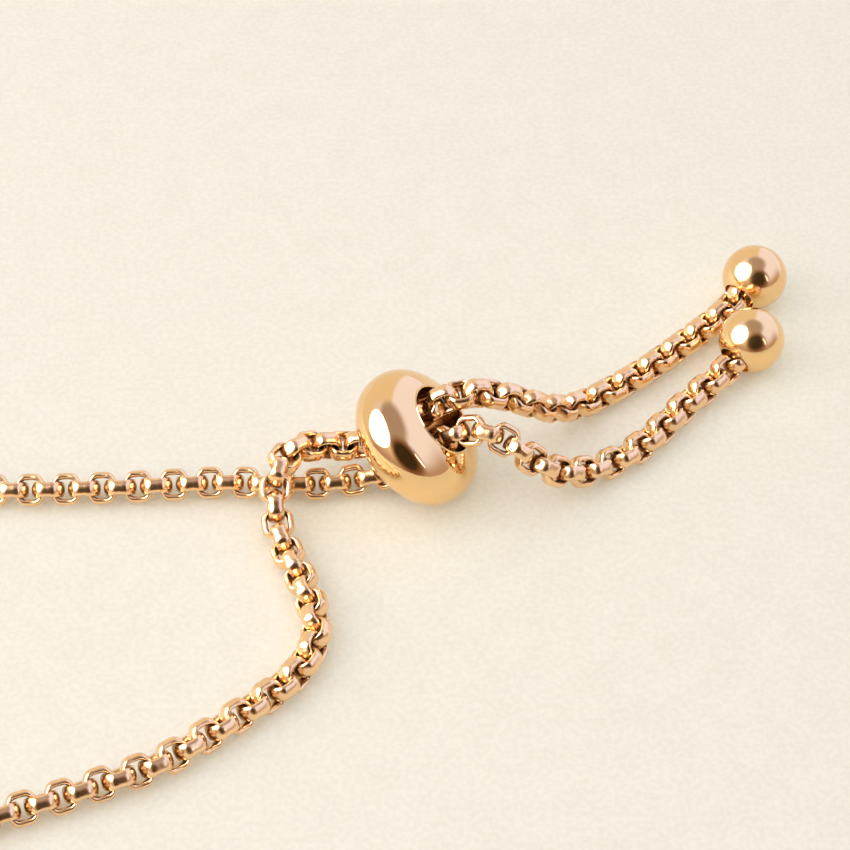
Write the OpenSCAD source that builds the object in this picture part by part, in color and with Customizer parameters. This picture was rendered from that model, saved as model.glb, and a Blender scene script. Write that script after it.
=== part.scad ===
// Adjustable chain bracelet lying on a table.
// One round box chain runs twice through a slider bead and ends in two balls.
// X points right and Y points away from the viewer, with the table at Z = 0.

/* [Chain] */
// Diameter of the round box chain
chain_d = 1.85; // [1.7:0.05:1.9]
// Length of one link
link_len = 1.72; // [1.66:0.01:1.74]
// Width of the strip that a link is pressed from
strip_w = 0.84; // [0.7:0.02:0.86]
// Thickness of the strip across a link's ends
end_t = 0.18; // [0.15:0.01:0.2]
// Thickness of the strip along a link's sides
side_t = 0.275; // [0.2:0.005:0.3]

/* [Slider bead] */
// Diameter of the slider bead
bead_d = 8.44; // [7.6:0.02:8.44]
// Width of the bead at the edge of its hole
bead_w = 4.28; // [3.8:0.02:4.4]
// Diameter of the hole through the bead
hole_d = 4.26; // [4.2:0.02:4.5]
// Height of the bead's centre above the table
bead_z = 3.55; // [3.3:0.05:3.9]

/* [End balls] */
// Diameter of the end balls
ball_d = 4; // [3.6:0.1:4.2]
// Diameter of the socket that holds the chain's last link
socket_d = 2.2; // [2.15:0.05:2.4]

/* [Hidden] */

// How far the bead's axis leans up from the table
bead_tilt = 45;
// Power of the bead's outside curve, where 2 is an ellipse and more is squarer
bead_square = 2.3;
bead_at = [21.55, 7.19, bead_z];
far_ball_at = [42.56, 22.33, ball_d / 2];
near_ball_at = [41.87, 16.73, ball_d / 2];
link_count = 213;
// Route points that are worked out between two rows
steps = 8;

// The chain's centre line in three stretches, listed from the far ball to the near one.
// Columns are x, y, z, roll of the even links in degrees, and distance from link to link.
// From the far ball, up through the bead, over the other strand and away to the lower left
far_strand = [
    [41.7, 21.2, 1.6, -72, 1.04],
    [40.5, 20, 1.15, -74, 1.04],
    [39, 18.6, 0.95, -76, 1.04],
    [36.4, 16.1, 0.95, -78, 1.04],
    [34.8, 14.7, 0.95, -80, 1.04],
    [33.1, 13.4, 0.97, -82, 1.04],
    [31.4, 12.15, 1.15, -88, 1.02],
    [29.9, 10.9, 2.05, -98, 1.02],
    [28.7, 10, 3.2, -106, 1.04],
    [27.4, 9.3, 4.45, -104, 1.04],
    [26, 8.7, 5.5, -96, 1.02],
    [24.75, 8.35, 5.95, -90, 1],
    [23.5, 8.1, 5.9, -88, 1],
    [22.4, 7.9, 5.35, -92, 1.02],
    [21, 7.8, 4.15, -95, 1.04],
    [19.6, 7.8, 2.85, -95, 1.01],
    [18.6, 7.85, 2.3, -92, 1],
    [17.4, 7.8, 2.13, -94, 1],
    [16.1, 7.6, 2.35, -100, 1],
    [15.05, 7.15, 2.72, -106, 1],
    [14.15, 6.35, 2.98, -108, 1.01],
    [13.6, 5.15, 2.88, -105, 1.01],
    [13.42, 3.85, 2.25, -97, 1.02],
    [13.6, 2.4, 1.25, -86, 1.01],
    [14.1, 0.9, 0.95, -76, 1.02],
    [14.9, -0.9, 0.95, -66, 1.02],
    [15.65, -3, 0.93, -57, 1.02],
    [16, -4.8, 0.93, -54, 1.02],
    [15.75, -6.5, 0.93, -60, 1.02],
    [14.8, -8.25, 0.93, -66, 1.02],
    [13.4, -9.65, 0.93, -62, 1.03],
    [11.8, -11, 0.93, -54, 1.04],
    [9.7, -12.7, 0.93, -48, 1.04],
    [7.6, -14.15, 0.93, -45, 1.04],
    [3.8, -15.8, 0.93, -40, 1.04],
    [0, -17.25, 0.93, -36, 1.04],
];

// The wide loop for the wrist
wrist_loop = [
    [-4, -18.8, 0.93, -36, 1.04],
    [-10, -20.8, 0.93, -37, 1.04],
    [-16, -22.3, 0.93, -38, 1.04],
    [-22, -23.2, 0.93, -39, 1.04],
    [-28, -23.25, 0.93, -40, 1.04],
    [-34, -21.6, 0.93, -41, 1.04],
    [-39, -18.3, 0.93, -42, 1.04],
    [-42.6, -13.5, 0.93, -43, 1.04],
    [-43.6, -8, 0.93, -44, 1.04],
    [-42, -2.8, 0.93, -45, 1.04],
    [-38, 1.3, 0.93, -46, 1.04],
    [-32.5, 3.8, 0.93, -47, 1.04],
    [-26, 5.1, 0.93, -48, 1.04],
    [-19, 5.6, 0.93, -48, 1.04],
    [-11, 5.6, 0.93, -48, 1.04],
];

// Back under the other strand, up through the bead and down to the near ball
near_strand = [
    [-3, 5.4, 0.93, -48, 1.04],
    [4, 5.6, 0.93, -48, 1.04],
    [10, 6, 0.93, -48, 1.04],
    [13, 5.9, 0.93, -48, 1.04],
    [15.6, 5.9, 0.93, -48, 1.04],
    [17.2, 6.05, 0.94, -48, 1.03],
    [18.5, 6.28, 1, -48, 1.02],
    [19.7, 6.42, 1.25, -46, 1.02],
    [20.8, 6.5, 1.8, -42, 1.03],
    [22.1, 6.5, 2.95, -38, 1.04],
    [23.4, 6.5, 4.3, -39, 1.02],
    [24.65, 6.32, 4.98, -43, 1.025],
    [25.9, 5.93, 5.06, -45, 1.01],
    [27.05, 5.5, 4.6, -44, 1.02],
    [28.1, 5.35, 3.65, -39, 1.04],
    [29.2, 5.5, 2.65, -36, 1.03],
    [30.5, 6.1, 1.65, -40, 1.02],
    [32.2, 7.1, 1.03, -40, 1.03],
    [34, 8.3, 0.93, -36, 1.04],
    [35.4, 9.6, 0.93, -33, 1.04],
    [37.9, 12.6, 0.94, -32, 1.04],
    [39.6, 14.3, 1.05, -32, 1.04],
    [40.9, 15.6, 1.45, -34, 1.04],
];

rows = concat(far_strand, wrist_loop, near_strand);

// A smooth curve through the rows, worked out at every step
function smooth(a, b, c, d, t) =
    b + ((c - a) * t + (2 * a - 5 * b + 4 * c - d) * t * t + (3 * b - a - 3 * c + d) * t * t * t) / 2;
function row(i) =
    i < 0 ? 2 * rows[0] - rows[1]
    : i < len(rows) ? rows[i]
    : 2 * rows[i - 1] - rows[i - 2];
route = [
    for (i = [0 : len(rows) - 2])
        for (k = [0 : steps - 1])
            smooth(row(i - 1), row(i), row(i + 1), row(i + 2), k / steps),
    rows[len(rows) - 1],
];
function place(i) = [route[i].x, route[i].y, route[i].z];
function stride(i) = 2 * norm(place(i) - place(i - 1)) / (route[i][4] + route[i - 1][4]);

// Number of links that fit before each point of the route
links_before = [
    for (i = 0, n = 0; i < len(route); i = i + 1, n = i < len(route) ? n + stride(i) : n) n
];
link_share = links_before[len(route) - 1] / (link_count - 1);
x_at = [for (i = [0 : len(route) - 1]) [links_before[i], route[i].x]];
y_at = [for (i = [0 : len(route) - 1]) [links_before[i], route[i].y]];
z_at = [for (i = [0 : len(route) - 1]) [links_before[i], route[i].z]];
roll_at = [for (i = [0 : len(route) - 1]) [links_before[i], route[i][3]]];
function centre(n) = [lookup(n * link_share, x_at), lookup(n * link_share, y_at), lookup(n * link_share, z_at)];
function roll(n) = lookup(n * link_share, roll_at) + 90 * (n % 2);
function unit(v) = v / norm(v);

// Moves a link to its place: its length along the route, each turned a quarter from the last
module on_route(n) {
    c = centre(n);
    t = unit(centre(n + 0.5) - centre(n - 0.5));
    u = unit([0, 0, 1] - t.z * t);
    s = cross(t, u);
    face = u * cos(roll(n)) + s * sin(roll(n));
    w = cross(face, t);
    multmatrix([
        [t.x, w.x, face.x, c.x],
        [t.y, w.y, face.y, c.y],
        [t.z, w.z, face.z, c.z],
    ])
        children();
}

// Mirrors the corner points of one quarter round all four
function all_round(q) = concat(
    q,
    [for (i = [len(q) - 1 : -1 : 0]) [-q[i].x, q[i].y]],
    [for (i = [0 : len(q) - 1]) [-q[i].x, -q[i].y]],
    [for (i = [len(q) - 1 : -1 : 0]) [q[i].x, -q[i].y]]
);
half_l = link_len / 2;
half_d = chain_d / 2;
half_w = strip_w / 2;
open_l = half_l - end_t;
open_d = half_d - side_t;
link_outline = all_round([[half_l, 0.26 * half_d], [0.85 * half_l, 0.72 * half_d], [0.52 * half_l, half_d]]);
link_opening = all_round([[open_l, 0.8 * open_d], [0.86 * open_l, open_d]]);
domed_ends = all_round([[half_l, 0.42 * half_w], [0.86 * half_l, half_w]]);
domed_sides = all_round([[half_d, 0.46 * half_w], [0.89 * half_d, half_w]]);

// One link: a pressed strip bent to a ring, domed outside, with an open middle
module link() {
    intersection() {
        linear_extrude(height = strip_w, center = true)
            polygon(concat(link_outline, link_opening), paths = [
                [for (i = [0 : 11]) i],
                [for (i = [12 : 19]) i],
            ]);
        rotate([90, 0, 0]) linear_extrude(height = 2 * chain_d, center = true) polygon(domed_ends);
        rotate([90, 0, 90]) linear_extrude(height = 2 * link_len, center = true) polygon(domed_sides);
    }
}

module links(first, last) {
    for (n = [first : last])
        on_route(n) link();
}

module far_half_chain() {
    color([0.85, 0.58, 0.42]) links(0, 106);
}

module near_half_chain() {
    color([0.85, 0.58, 0.42]) links(107, link_count - 1);
}

// Fat ring with a straight round hole, whose outside is a slightly squared ellipse
module slider_bead() {
    half_bulge = bead_w / 2 / pow(1 - pow(hole_d / bead_d, bead_square), 1 / bead_square);
    function reach(y) = bead_d / 2 * pow(1 - pow(abs(y) / half_bulge, bead_square), 1 / bead_square);
    color([0.87, 0.6, 0.45])
        translate(bead_at)
            rotate([0, bead_tilt, 0])
                rotate_extrude($fn = 96)
                    polygon([for (i = [-12 : 12]) [reach(i * bead_w / 24), i * bead_w / 24]]);
}

// Ball with a blind socket that faces the way the chain arrives
module end_ball(at, chain_end) {
    d = unit(chain_end - at);
    depth = 0.3;
    difference() {
        translate(at) sphere(d = ball_d, $fn = 72);
        translate(at + d * depth)
            rotate([0, acos(d.z), atan2(d.y, d.x)])
                cylinder(d = socket_d, h = ball_d, $fn = 48);
    }
}

module far_end_ball() {
    color([0.87, 0.6, 0.45]) end_ball(far_ball_at, centre(0.5));
}

module near_end_ball() {
    color([0.87, 0.6, 0.45]) end_ball(near_ball_at, centre(link_count - 1.5));
}

far_half_chain();
near_half_chain();
slider_bead();
far_end_ball();
near_end_ball();
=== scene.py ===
# %% [markdown]
# # A rose gold slider bracelet
# The bracelet is a round box chain whose two strands run side by side through one slider bead.
# Each end of the chain is closed by a small ball. All of it is polished, so the picture is made
# of what the metal reflects: a soft lamp, a pale wall, a dark room and a cream table.
# The solid model is loaded first, and every visible piece is set where its solid lies.

# %% Load the solid model
import math

import bmesh
import bpy
import numpy as np
from mathutils import Matrix, Vector, noise


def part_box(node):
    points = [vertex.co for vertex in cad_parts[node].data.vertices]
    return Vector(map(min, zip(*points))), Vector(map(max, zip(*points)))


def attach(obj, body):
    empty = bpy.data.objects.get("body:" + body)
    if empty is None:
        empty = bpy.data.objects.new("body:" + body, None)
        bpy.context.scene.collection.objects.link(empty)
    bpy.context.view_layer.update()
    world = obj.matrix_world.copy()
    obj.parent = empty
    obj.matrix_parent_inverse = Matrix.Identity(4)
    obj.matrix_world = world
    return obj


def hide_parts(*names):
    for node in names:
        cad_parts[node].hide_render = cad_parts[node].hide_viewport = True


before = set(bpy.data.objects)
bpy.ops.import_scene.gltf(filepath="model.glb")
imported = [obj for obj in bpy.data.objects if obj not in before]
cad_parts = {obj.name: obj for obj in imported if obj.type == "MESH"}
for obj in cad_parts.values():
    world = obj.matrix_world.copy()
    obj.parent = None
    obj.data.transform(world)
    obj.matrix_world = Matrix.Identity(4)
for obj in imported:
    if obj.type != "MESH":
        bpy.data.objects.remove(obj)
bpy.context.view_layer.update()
MM = 0.001

# %% [markdown]
# ## Sums with sockets
# A shader is a graph. Its sums could be wired node by node, but they are easier to read as sums.
# Wire holds one socket and gives it plus and times, in both orders, so that 0.5 + mask works too.
# Every other node comes from make(), which sets the node's own settings first and then its
# sockets.

# %% A socket that can be used in sums
class Wire:
    def __init__(self, tree, socket=None):
        self.tree = tree
        self.socket = socket

    def make(self, kind, settings=None, values=None, out=0):
        node = self.tree.nodes.new(kind)
        for name, value in (settings or {}).items():
            setattr(node, name, value)
        for name, value in (values or {}).items():
            if isinstance(value, Wire):
                self.tree.links.new(value.socket, node.inputs[name])
            else:
                node.inputs[name].default_value = value
        return Wire(self.tree, node.outputs[out])

    def maths(self, operation, first, second):
        return self.make("ShaderNodeMath", {"operation": operation}, {0: first, 1: second})

    def __add__(self, other):
        return self.maths("ADD", self, other)

    __radd__ = __add__

    def __mul__(self, other):
        return self.maths("MULTIPLY", self, other)

    __rmul__ = __mul__

    def blend(self, low, high):
        """The colour low where this socket is 0 and the colour high where it is 1."""
        mix = {"data_type": "RGBA", "clamp_factor": True}
        return self.make("ShaderNodeMix", mix, {0: self, 6: low, 7: high}, out=2)

    def ramp(self, start, end):
        """Goes smoothly from 0 to 1 while this socket goes from start to end."""
        smooth = {"interpolation_type": "SMOOTHSTEP"}
        values = {"Value": self, "From Min": start, "From Max": end}
        return self.make("ShaderNodeMapRange", smooth, values)


# %% Helpers for materials
def new_material(name):
    material = bpy.data.materials.new(name)
    material.use_nodes = True
    tree = material.node_tree
    return material, Wire(tree), tree.nodes["Principled BSDF"]


def feed(wire, node, socket):
    wire.tree.links.new(wire.socket, node.inputs[socket])


def spots(where, per_metre, detail):
    """Soft noise with so many spots to the metre, and finer ones on them for more detail."""
    values = {"Vector": where, "Scale": per_metre, "Detail": detail}
    return where.make("ShaderNodeTexNoise", None, values)


# %% [markdown]
# ## The camera
# The photo looks down on the table at about 46 degrees, through a long lens, with the bead a
# little above the middle. The camera could be placed by eye, but a target point, a distance and
# an elevation are easier to check, because each is a plain fact about the picture. The picture's
# side and the focal length are both in pixels, and the lens needs only their ratio.

# %% Place the camera
LOOK_AT = Vector((22, 11.5, 0)) * MM
CAMERA_DISTANCE = 150 * MM
CAMERA_ELEVATION = math.radians(46.5)
PICTURE_SIDE = 850
FOCAL_PIXELS = 2500
SENSOR = 36

lens = bpy.data.cameras.new("camera")
lens.sensor_width = SENSOR
lens.lens = FOCAL_PIXELS / PICTURE_SIDE * SENSOR
lens.clip_start = MM
camera = bpy.data.objects.new("camera", lens)
bpy.context.scene.collection.objects.link(camera)
back = Vector((0, -math.cos(CAMERA_ELEVATION), math.sin(CAMERA_ELEVATION)))
camera.location = LOOK_AT + back * CAMERA_DISTANCE
camera.rotation_euler = (math.pi / 2 - CAMERA_ELEVATION, 0, 0)
bpy.context.scene.camera = camera
bpy.context.scene.view_settings.view_transform = "Standard"
print("camera at", tuple(round(v / MM, 1) for v in camera.location), "mm")

# %% [markdown]
# ## The studio
# Polished metal shows its surroundings, so the surroundings are the real material here. A plain
# grey world makes it look like plastic. The photo's end balls are small mirrors, and they show
# a large round lamp on the left, a cool pale wall on the right, a warmer one on the left, a
# dark gap round the camera and a dim ceiling. The world is built from those few soft patches.
# The same room could light the table too, but a polished chain needs strong contrasts and a pale
# table an even light. So light that scatters off the table comes from a plain dome instead. A
# third, brighter colour stands for what the chain throws back on the table. Real links bounce
# light about more often than the render follows it, and without this their shadows are too dark.

# %% Helpers for directions
def direction(heading, height):
    """Heading 0 looks away from the camera and 90 to its right. Height is above the table."""
    turn = math.radians(heading)
    lift = math.radians(height)
    level = math.cos(lift)
    return Vector((level * math.sin(turn), level * math.cos(turn), math.sin(lift)))


# %% Name the room's colours
GOLD_WALL = (0.90, 0.80, 0.68, 1)
PALE_WALL = (1.02, 1.08, 1.62, 1)
LAMP_GLARE = (0.88, 0.86, 1.16, 1)
LOW_WALL = (0.54, 0.39, 0.34, 1)
CEILING = (0.46, 0.38, 0.40, 1)
RUSTY_EDGE = (0.22, 0.10, 0.05, 1)
DARK_ROOM = (0.050, 0.035, 0.018, 1)
DOME = (0.965, 0.955, 0.945, 1)
THROWN_BACK = (2.3, 3.7, 5.4, 1)

# %% Mark out the room's patches
world = bpy.data.worlds.new("studio")
bpy.context.scene.world = world
world.use_nodes = True
sky = Wire(world.node_tree)
facing = sky.make("ShaderNodeTexCoord")


def patch(heading, height, inner, outer):
    """1 within the inner angle of a direction, falling to 0 at the outer one, in degrees."""
    values = {0: facing, 1: direction(heading, height)}
    cosine = sky.make("ShaderNodeVectorMath", {"operation": "DOT_PRODUCT"}, values, out="Value")
    return cosine.ramp(math.cos(math.radians(outer)), math.cos(math.radians(inner)))


right_side = patch(102, 0, 85, 92)
beside_lamp = patch(-80, 60, 16, 34)
below_camera = patch(0, -90, 94, 124) * patch(172, 0, 76, 108)
overhead = patch(0, 90, 22, 38)
above_camera = patch(178, 60, 18, 32)
round_camera = patch(168, 32, 26, 42)
at_camera = patch(170, 34, 20, 29)

# %% Join the patches to a room, and choose who sees it
room = right_side.blend(GOLD_WALL, PALE_WALL)
for mask, colour in (
    (beside_lamp, LAMP_GLARE),
    (below_camera, LOW_WALL),
    (overhead, CEILING),
    (above_camera, CEILING),
    (round_camera, RUSTY_EDGE),
    (at_camera, DARK_ROOM),
):
    room = mask.blend(room, colour)
scattered = sky.make("ShaderNodeLightPath", out="Diffuse Depth")
mirrored = sky.make("ShaderNodeLightPath", out="Is Glossy Ray")
surroundings = scattered.blend(room, (mirrored * scattered).blend(DOME, THROWN_BACK))
feed(surroundings, world.node_tree.nodes["Background"], "Color")
print("the room has", len(world.node_tree.nodes), "nodes")


# %% [markdown]
# ## The lamps
# The key light is a big round softbox on the left. Its size sets how soft the shadows are and
# how large the white spot on each ball is. As bright as that spot has to be, it would bleach
# the table, so it is split in two: one softbox that only the metal sees, and a weaker and nearer
# one in the same direction that only lights the table. A narrow strip on the right adds the thin
# bright line beside the dark patch on the bead. The camera itself sees no lamp. Distances are in
# metres. A lamp's sides are shares of its distance, because that ratio is what the metal shows.

# %% Hang the lamps
KEY_SIDE = direction(-104, 41)
SLIT_SIDE = direction(132, 29)
FAR = 0.4
NEAR = 0.3
KEY_WIDTH = 1.15
SLIT_WIDTH = 0.05
SLIT_HEIGHT = 0.42


def lamp(name, toward, distance, width, height, radiance, on_table=True, in_metal=True):
    """An oval softbox. Its power is its radiance times pi times its area."""
    softbox = bpy.data.lights.new(name, "AREA")
    softbox.shape = "ELLIPSE"
    softbox.size = width * distance
    softbox.size_y = height * distance
    area = math.pi * softbox.size * softbox.size_y / 4
    softbox.energy = radiance * math.pi * area
    holder = bpy.data.objects.new(name, softbox)
    bpy.context.scene.collection.objects.link(holder)
    holder.location = LOOK_AT + toward * distance
    holder.rotation_euler = toward.to_track_quat("Z", "Y").to_euler()
    holder.visible_camera = False
    holder.visible_diffuse = on_table
    holder.visible_glossy = in_metal
    print(name, round(softbox.energy, 2), "W")


lamp("key_spot", KEY_SIDE, FAR, KEY_WIDTH, KEY_WIDTH, radiance=8, on_table=False)
lamp("key_glow", KEY_SIDE, NEAR, KEY_WIDTH, KEY_WIDTH, radiance=1.24, in_metal=False)
lamp("strip_light", SLIT_SIDE, FAR, SLIT_WIDTH, SLIT_HEIGHT, radiance=3.4, on_table=False)

# %% [markdown]
# ## The table
# The bracelet lies on cream leather or coated card with a faint grain. The grain is too fine to
# model, so two layers of noise do it: clouds a few millimetres wide and cells a third of a
# millimetre wide shift the colour by a few percent, and the cells also make a shallow bump.
# Leather lets light in a little way. Subsurface scattering does the same, and softens the edges
# of the shadows with light that comes up beside them.

# %% Lay the table
TABLE_SIDE = 1.6

table_bm = bmesh.new()
bmesh.ops.create_grid(table_bm, x_segments=1, y_segments=1, size=TABLE_SIDE / 2)
table_mesh = bpy.data.meshes.new("table")
table_bm.to_mesh(table_mesh)
table_bm.free()
table = bpy.data.objects.new("table", table_mesh)
bpy.context.scene.collection.objects.link(table)
print("table", TABLE_SIDE, "m wide")

# %% Give the table its grain
TABLE_CREAM = (0.815, 0.760, 0.670, 1)
TABLE_SHADE = (0.765, 0.708, 0.616, 1)
CLOUDS_PER_METRE = 450
CELLS_PER_METRE = 3000
CLOUD_RANGE = (0.35, 0.7)
CELL_RANGE = (0.35, 0.65)
CLOUD_SHARE = 0.3
CELL_SHARE = 0.7
GRAIN_HEIGHT = 0.1 * MM
GRAIN_STRENGTH = 0.4
LEATHER = {
    "Roughness": 0.62,
    "Specular IOR Level": 0.2,
    "Subsurface Weight": 1,
    "Subsurface Radius": (1, 0.8, 0.6),
    "Subsurface Scale": 3 * MM,
}

cream, grain, surface = new_material("cream_table")
place = grain.make("ShaderNodeTexCoord", out="Object")
clouds = spots(place, CLOUDS_PER_METRE, detail=3)
cells = spots(place, CELLS_PER_METRE, detail=2)
shade = CLOUD_SHARE * clouds.ramp(*CLOUD_RANGE) + CELL_SHARE * cells.ramp(*CELL_RANGE)
feed(shade.blend(TABLE_CREAM, TABLE_SHADE), surface, "Base Color")
values = {"Height": cells, "Strength": GRAIN_STRENGTH, "Distance": GRAIN_HEIGHT}
feed(grain.make("ShaderNodeBump", None, values), surface, "Normal")
surface.subsurface_method = "BURLEY"
for socket, value in LEATHER.items():
    surface.inputs[socket].default_value = value
table_mesh.materials.append(cream)
print("the grain has", len(cream.node_tree.nodes), "nodes")

# %% [markdown]
# ## Rose gold
# Rose gold is gold alloyed with copper. Polished, it has one colour for all reflections, and
# only small things break the mirror: hairline scratches, a slight waviness from hand polishing
# and a dark colour in the hollows. That dark colour is partly a film where a cloth can't reach
# and partly painted shade, which stands in for the hollows' shadow and dark reflections.
# It follows an attribute named recess, which each mesh carries, because the material can't know
# by itself which faces are hidden. A second attribute, tone, makes each link a little lighter or
# darker than the next. One recipe serves three finishes. The bead is a mirror, the balls are
# buffed, and the chain is tumbled in a barrel, which leaves it the softest shine.

# %% Name the metal's colours, its flaws and its painted shade
BEAD_GOLD = (0.92, 0.62, 0.30, 1)
CHAIN_GOLD = (0.98, 0.665, 0.365, 1)
# The film colour is partly a real film in the hollows and partly painted shade for their shadow
# and dark reflections.
FILM_AND_PAINTED_SHADE = (0.13, 0.055, 0.018, 1)
FILM_AND_SHADE_RANGE = (0.6, 1.0)
EVEN_FILM_AND_SHADE = 0.65
PATCHY_FILM_AND_SHADE = 0.35
PATINA_PER_METRE = 900
PATINA_RANGE = (0.3, 0.7)
TONE_SHARE = 0.12
HAZE_PER_METRE = 2600
HAZE_RANGE = (0.45, 0.8)
HAZE_ROUGHNESS = 0.05
FILM_ROUGHNESS = 0.14
SCRATCHES_PER_METRE = (900, 5200, 5200)
SCRATCH_HEIGHT = 0.02
RELIEF = 0.04 * MM


# %% Mix the metal
def rose_gold(name, colour, roughness, wave, waves_per_metre):
    """One finish. The height of its waves is a share of the relief, as is the scratches'."""
    material, metal, shader = new_material(name)
    spot = metal.make("ShaderNodeTexCoord", out="Object")
    recess = metal.make("ShaderNodeAttribute", {"attribute_name": "recess"}, out="Fac")
    tone = metal.make("ShaderNodeAttribute", {"attribute_name": "tone"}, out="Fac")
    patina = spots(spot, PATINA_PER_METRE, detail=3)
    # Partly film and partly painted shade: the colour darkens towards the film colour in the
    # hollows that the recess attribute marks.
    film_and_shade = recess.ramp(*FILM_AND_SHADE_RANGE) * (EVEN_FILM_AND_SHADE + PATCHY_FILM_AND_SHADE * patina.ramp(*PATINA_RANGE))
    feed((film_and_shade + TONE_SHARE * tone).blend(colour, FILM_AND_PAINTED_SHADE), shader, "Base Color")
    haze = spots(spot, HAZE_PER_METRE, detail=2)
    dullness = roughness + HAZE_ROUGHNESS * haze.ramp(*HAZE_RANGE) + FILM_ROUGHNESS * film_and_shade
    feed(dullness, shader, "Roughness")
    ripple = spots(spot, waves_per_metre, detail=1)
    stretch = {"Vector": spot, "Scale": SCRATCHES_PER_METRE}
    scratch = spots(metal.make("ShaderNodeMapping", None, stretch), 1, detail=3)
    height = ripple * wave + scratch * SCRATCH_HEIGHT
    values = {"Height": height, "Strength": 1, "Distance": RELIEF}
    feed(metal.make("ShaderNodeBump", None, values), shader, "Normal")
    shader.inputs["Metallic"].default_value = 1
    return material


# %% Make the three finishes
FINISHES = {
    # name: colour, roughness, height of the waves, waves per metre
    "tumbled_rose_gold": (CHAIN_GOLD, 0.2, 0.2, 1000),
    "mirror_rose_gold": (BEAD_GOLD, 0.05, 0.5, 320),
    "buffed_rose_gold": (BEAD_GOLD, 0.13, 0.5, 500),
}
gold = {name: rose_gold(name, *row) for name, row in FINISHES.items()}
print("finishes", sorted(gold))


# %% [markdown]
# ## One link
# A box chain's link is a short strip of metal bent to a ring and pressed until its outside is
# round. Seen from above, the strip shows as a small pillow: domed at both ends and a little
# narrow at its waist. The ring could be cut from a block, but its four quarters are alike, so
# one quarter is bridged from four cross sections of the strip and mirrored twice. A Subdivision
# Surface modifier then rounds the cage as tumbling rounds the real link. The cage stands a
# little outside the finished surface, and has few faces, because the link is repeated 213 times.
# In the cage, x runs along the chain and z across the ring.

# %% Name the link's sizes, in millimetres
SAME_POINT = 0.001
STRIP_WIDTH = 1.13
CROWN_SHARE = 0.76
WAIST_SHARE = 0.85
SECTIONS = (
    # crown (x, z), inside (x, z), share of the strip's width, film and painted shade on the crown
    # and inside
    ((1.05, 0), (0.64, 0), 1, (1, 1)),
    ((0.83, 0.54), (0.52, 0.30), 1, (0.3, 1)),
    ((0.50, 1.00), (0.40, 0.57), 1, (0, 0.8)),
    ((0, 0.94), (0, 0.51), WAIST_SHARE, (0, 0.7)),
)


# %% Bend one link
def strip_section(bm, crown, inside, share, depths):
    """One cross section of the strip: two points outside on its crown and two points inside."""
    half = STRIP_WIDTH / 2 * share
    crown_half = half * CROWN_SHARE
    corners = [(crown, crown_half), (inside, half), (inside, -half), (crown, -crown_half)]
    points = [bm.verts.new((x, side, z)) for (x, z), side in corners]
    recess = bm.verts.layers.float["recess"]
    for point, depth in zip(points, depths + depths[::-1]):
        point[recess] = depth
    return [bm.edges.new((points[i - 1], points[i])) for i in range(4)]


def bend_link():
    bm = bmesh.new()
    bm.verts.layers.float.new("recess")
    bm.verts.layers.float.new("tone")
    sections = [strip_section(bm, *row) for row in SECTIONS]
    for first, second in zip(sections, sections[1:]):
        bmesh.ops.bridge_loops(bm, edges=first + second)
    for axis in ("X", "Z"):
        everything = bm.verts[:] + bm.edges[:] + bm.faces[:]
        bmesh.ops.mirror(bm, geom=everything, merge_dist=SAME_POINT, axis=axis)
    bmesh.ops.recalc_face_normals(bm, faces=bm.faces)
    bmesh.ops.scale(bm, verts=bm.verts, vec=(MM, MM, MM))
    return bm


print("one link has", len(bend_link().faces), "faces")


# %% [markdown]
# ## Where the links go
# The solid model holds every link as a loose solid, each a quarter turn from its neighbour. Its
# places could be copied as numbers, but reading them from the solids can't go wrong: a link's
# three main axes are those along which its corner points spread most and least. The axis of
# least spread is the strip's width, and the one that points to the next link is its length.

# %% Find the loose solids
def loose_solids(node):
    """The corner points of each loose solid of a node, one array for each. The waiting points
    are kept in a dictionary and not in a set, because it hands them out in the same order
    each time."""
    bm = bmesh.new()
    bm.from_mesh(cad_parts[node].data)
    bmesh.ops.remove_doubles(bm, verts=bm.verts, dist=SAME_POINT * MM)
    waiting = dict.fromkeys(bm.verts)
    solids = []
    while waiting:
        reached = [waiting.popitem()[0]]
        solid = []
        while reached:
            vert = reached.pop()
            solid.append(tuple(vert.co))
            for edge in vert.link_edges:
                other = edge.other_vert(vert)
                if other in waiting:
                    del waiting[other]
                    reached.append(other)
        solids.append(np.array(solid))
    bm.free()
    return solids


# %% Put them in order and read each one's place
def in_order(solids, start):
    """Sorts the solids along the chain, beginning with the one nearest to start."""
    left = list(solids)
    here = np.array(start)
    order = []
    while left:
        gaps = [np.linalg.norm(solid.mean(0) - here) for solid in left]
        order.append(left.pop(int(np.argmin(gaps))))
        here = order[-1].mean(0)
    return order


def link_places(node, start):
    """One matrix for each link: x along the chain, y across the strip and z across the ring."""
    solids = in_order(loose_solids(node), start)
    centres = [solid.mean(0) for solid in solids]
    places = []
    for i, solid in enumerate(solids):
        ahead = centres[min(i + 1, len(centres) - 1)] - centres[max(i - 1, 0)]
        axes = np.linalg.eigh(np.cov((solid - centres[i]).T))[1]
        across = Vector(axes[:, 0])
        first, second = Vector(axes[:, 1]), Vector(axes[:, 2])
        along = max((first, second), key=lambda axis: abs(axis.dot(Vector(ahead))))
        if along.dot(Vector(ahead)) < 0:
            along.negate()
        height = along.cross(across)
        turn = Matrix((along, across, height)).transposed().to_4x4()
        places.append(Matrix.Translation(centres[i]) @ turn)
    return places


# %% [markdown]
# ## The two halves of the chain
# On the real bracelet the chain is one. Each of its 213 links could be an object, but so many
# are slow to handle, so the links are joined to two pieces, one for each solid model of half a
# chain. Every link gets its own tone, read off a line through soft noise, because no two real
# links take the polish alike.

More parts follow.
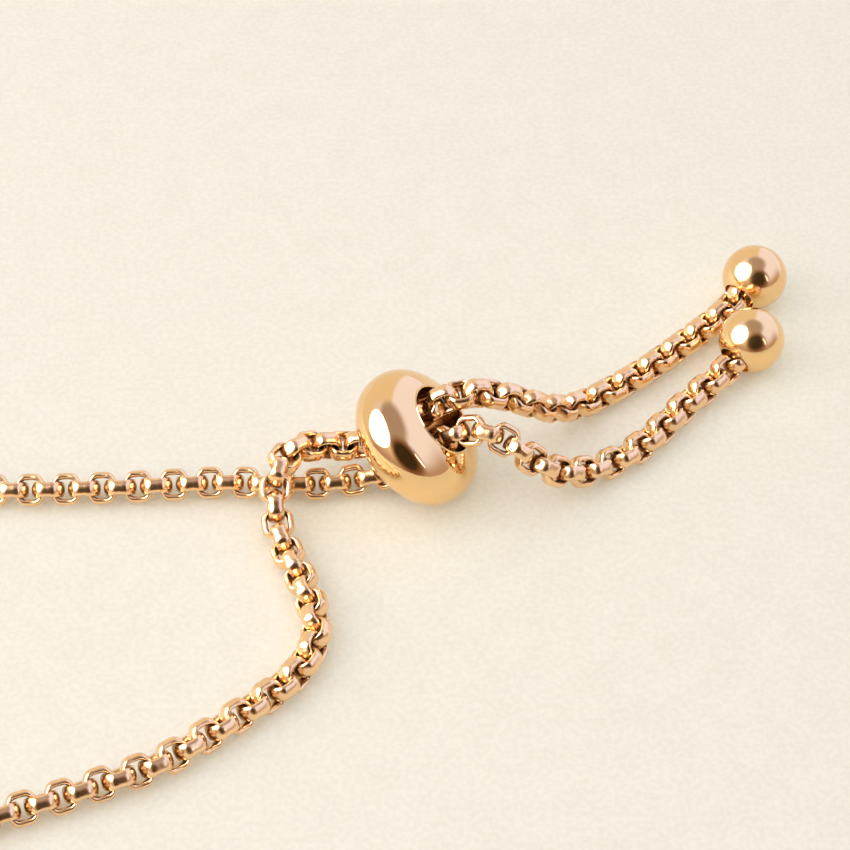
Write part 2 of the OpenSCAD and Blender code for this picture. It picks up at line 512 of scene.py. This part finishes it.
# %% A helper that adds a piece in place of a solid, and hides that solid
def add_piece(name, bm, node, material):
    mesh = bpy.data.meshes.new(name)
    bm.to_mesh(mesh)
    bm.free()
    mesh.shade_smooth()
    mesh.materials.append(material)
    piece = bpy.data.objects.new(name, mesh)
    bpy.context.scene.collection.objects.link(piece)
    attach(piece, "root")
    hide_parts(node)
    print(name, len(mesh.polygons), "faces")
    return piece


# %% Join the links to the two halves of the chain
MIDDLE_TONE = 0.5
TONE_SPREAD = 0.5
TONE_STEP = 0.9
TONE_LINE = (0.3, 0.1)
ROUNDING_LEVELS = 2


def chain_half(name, node, start):
    """Sets a copy of the link at each place of a node's solids, from the ball at start on."""
    bm = bend_link()
    tone = bm.verts.layers.float["tone"]
    first_link = bm.verts[:]
    pattern = bm.verts[:] + bm.edges[:] + bm.faces[:]
    places = link_places(node, start)
    for i, place in enumerate(places):
        copy = bmesh.ops.duplicate(bm, geom=pattern)["geom"]
        corners = [part for part in copy if isinstance(part, bmesh.types.BMVert)]
        link_tone = MIDDLE_TONE + TONE_SPREAD * noise.noise(Vector((i * TONE_STEP, *TONE_LINE)))
        for vert in corners:
            vert[tone] = link_tone
        bmesh.ops.transform(bm, matrix=place, verts=corners)
    bmesh.ops.delete(bm, geom=first_link)
    piece = add_piece(name, bm, node, gold["tumbled_rose_gold"])
    rounding = piece.modifiers.new("rounding", "SUBSURF")
    rounding.levels = ROUNDING_LEVELS
    rounding.render_levels = ROUNDING_LEVELS
    return places


def middle(node):
    low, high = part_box(node)
    return (low + high) / 2


far_places = chain_half("far_chain_links", "far_half_chain", middle("far_end_ball"))
near_places = chain_half("near_chain_links", "near_half_chain", middle("near_end_ball"))


# %% [markdown]
# ## Turning on a lathe
# The bead and the balls are turned from bar on a lathe. A sphere or a torus from the menu could
# be cut to shape, but a lathe's way fits better: the half section, hole included, is drawn once
# and spun about its axis. Then the sharp rims are broken with a small bevel, as a turner does,
# and the wall of the hole is marked as a recess, which gets the dark film and painted shade.

# %% Helpers for turned pieces, in millimetres
BEVEL_STEPS = 3
WALL_SLACK = 0.01


def lathe(profile, closed, steps, rims, rim_break):
    """Spins a half section of (along, out) points about x and breaks its rims, which are given
    by their places along x. A closed section has an edge from its last point to its first."""
    bm = bmesh.new()
    points = [bm.verts.new((along, 0, out)) for along, out in profile]
    first = 0 if closed else 1
    edges = [bm.edges.new((points[i - 1], points[i])) for i in range(first, len(points))]
    full_turn = {"axis": (1, 0, 0), "angle": 2 * math.pi, "steps": steps, "use_merge": True}
    bmesh.ops.spin(bm, geom=edges, **full_turn)
    bmesh.ops.remove_doubles(bm, verts=bm.verts, dist=SAME_POINT)

    def on_rim(vert):
        return min(abs(vert.co.x - rim) for rim in rims) < SAME_POINT

    sharp = [edge for edge in bm.edges if all(on_rim(vert) for vert in edge.verts)]
    broken = {"offset": rim_break, "segments": BEVEL_STEPS, "profile": 0.5, "affect": "EDGES"}
    bmesh.ops.bevel(bm, geom=sharp, material=-1, **broken)
    bmesh.ops.recalc_face_normals(bm, faces=bm.faces)
    return bm


def film_and_shade_in_hole(bm, radius, start, end):
    """Marks the wall of a hole as a recess between two places along its axis, for the dark film
    and painted shade.
    """
    recess = bm.verts.layers.float.new("recess")
    for vert in bm.verts:
        on_wall = math.hypot(vert.co.y, vert.co.z) < radius + WALL_SLACK
        vert[recess] = 1 if on_wall and start < vert.co.x < end else 0


def set_down(bm, node, turn):
    """Moves a piece turned in millimetres to the middle of its solid, in metres."""
    place = Matrix.Translation(middle(node)) @ turn @ Matrix.Scale(MM, 4)
    bmesh.ops.transform(bm, matrix=place, verts=bm.verts)
    return bm


# %% [markdown]
# ## The slider bead
# The bead has a crowned outside round a hole that is cut straight through, with the hole's
# edges just broken so that they don't cut the chain. A half circle could serve as its outside,
# but the real one is an ellipse with a power a little above 2, which is flatter at the middle.
# The lamp's reflection shows that: on a true ellipse it would lie further left than in the photo.

# %% Name the bead's sizes, in millimetres
BEAD_TILT = math.radians(45)
HOLE_RADIUS = 2.13
EDGE_WIDTH = 4.28
POWER = 2.3
EDGE_BREAK = 0.07
UNDARKENED_RIM = 0.3
BEAD_ARC_STEPS = 28
BEAD_TURN_STEPS = 128


# %% Turn the bead
def turn_bead():
    low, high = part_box("slider_bead")
    radius = (high.y - low.y) / 2 / MM
    half_width = EDGE_WIDTH / 2
    bulge = half_width / (1 - (HOLE_RADIUS / radius) ** POWER) ** (1 / POWER)
    turns = [math.pi * (i / BEAD_ARC_STEPS - 0.5) for i in range(BEAD_ARC_STEPS + 1)]
    sides = [half_width * math.sin(turn) for turn in turns]
    profile = [(x, radius * (1 - (abs(x) / bulge) ** POWER) ** (1 / POWER)) for x in sides]
    rim_edge = half_width - UNDARKENED_RIM
    profile += [(rim_edge, HOLE_RADIUS), (-rim_edge, HOLE_RADIUS)]
    bm = lathe(profile, True, BEAD_TURN_STEPS, (-half_width, half_width), EDGE_BREAK)
    film_and_shade = half_width - UNDARKENED_RIM / 2
    # The hole's wall, short of its rims, gets the dark film and painted shade.
    film_and_shade_in_hole(bm, HOLE_RADIUS, -film_and_shade, film_and_shade)
    return set_down(bm, "slider_bead", Matrix.Rotation(-BEAD_TILT, 4, "Y"))


bead_gold = gold["mirror_rose_gold"]
add_piece("slider_ring", turn_bead(), "slider_bead", bead_gold)


# %% [markdown]
# ## The end balls
# Each end of the chain is glued or soldered into a drilled ball. A plain sphere would hide the
# drilled socket, whose dark seam shows round the last link. So the ball's half section, socket
# included, is spun about the line from the ball to the chain.

# %% Name the balls' sizes, in millimetres
SOCKET_RADIUS = 1.02
SOCKET_DEPTH = 1.45
SEAM_BREAK = 0.03
SEAM_SHINE = 0.04
BALL_ARC_STEPS = 26
BALL_TURN_STEPS = 72


# %% Turn the balls
def turn_ball(node, chain_end):
    low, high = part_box(node)
    radius = (high.z - low.z) / 2 / MM
    mouth = math.asin(SOCKET_RADIUS / radius)
    lip = radius * math.cos(mouth)
    floor = lip - SOCKET_DEPTH
    socket = [(floor, 0), (floor, SOCKET_RADIUS)]
    turns = [mouth + (math.pi - mouth) * i / BALL_ARC_STEPS for i in range(BALL_ARC_STEPS)]
    outside = [(radius * math.cos(turn), radius * math.sin(turn)) for turn in turns]
    profile = socket + outside + [(-radius, 0)]
    bm = lathe(profile, False, BALL_TURN_STEPS, (lip,), SEAM_BREAK)
    # The socket's wall gets the dark film and painted shade, which darkens the seam round the
    # last link.
    film_and_shade_in_hole(bm, SOCKET_RADIUS, 0, lip - SEAM_SHINE)
    toward_chain = (chain_end - middle(node)).to_track_quat("X", "Z")
    return set_down(bm, node, toward_chain.to_matrix().to_4x4())


def chain_end(places):
    return (places[0].translation + places[1].translation) / 2


# %% Set a ball at each end
ball_gold = gold["buffed_rose_gold"]
for name, node, places in (
    ("far_ball", "far_end_ball", far_places),
    ("near_ball", "near_end_ball", near_places),
):
    add_piece(name, turn_ball(node, chain_end(places)), node, ball_gold)
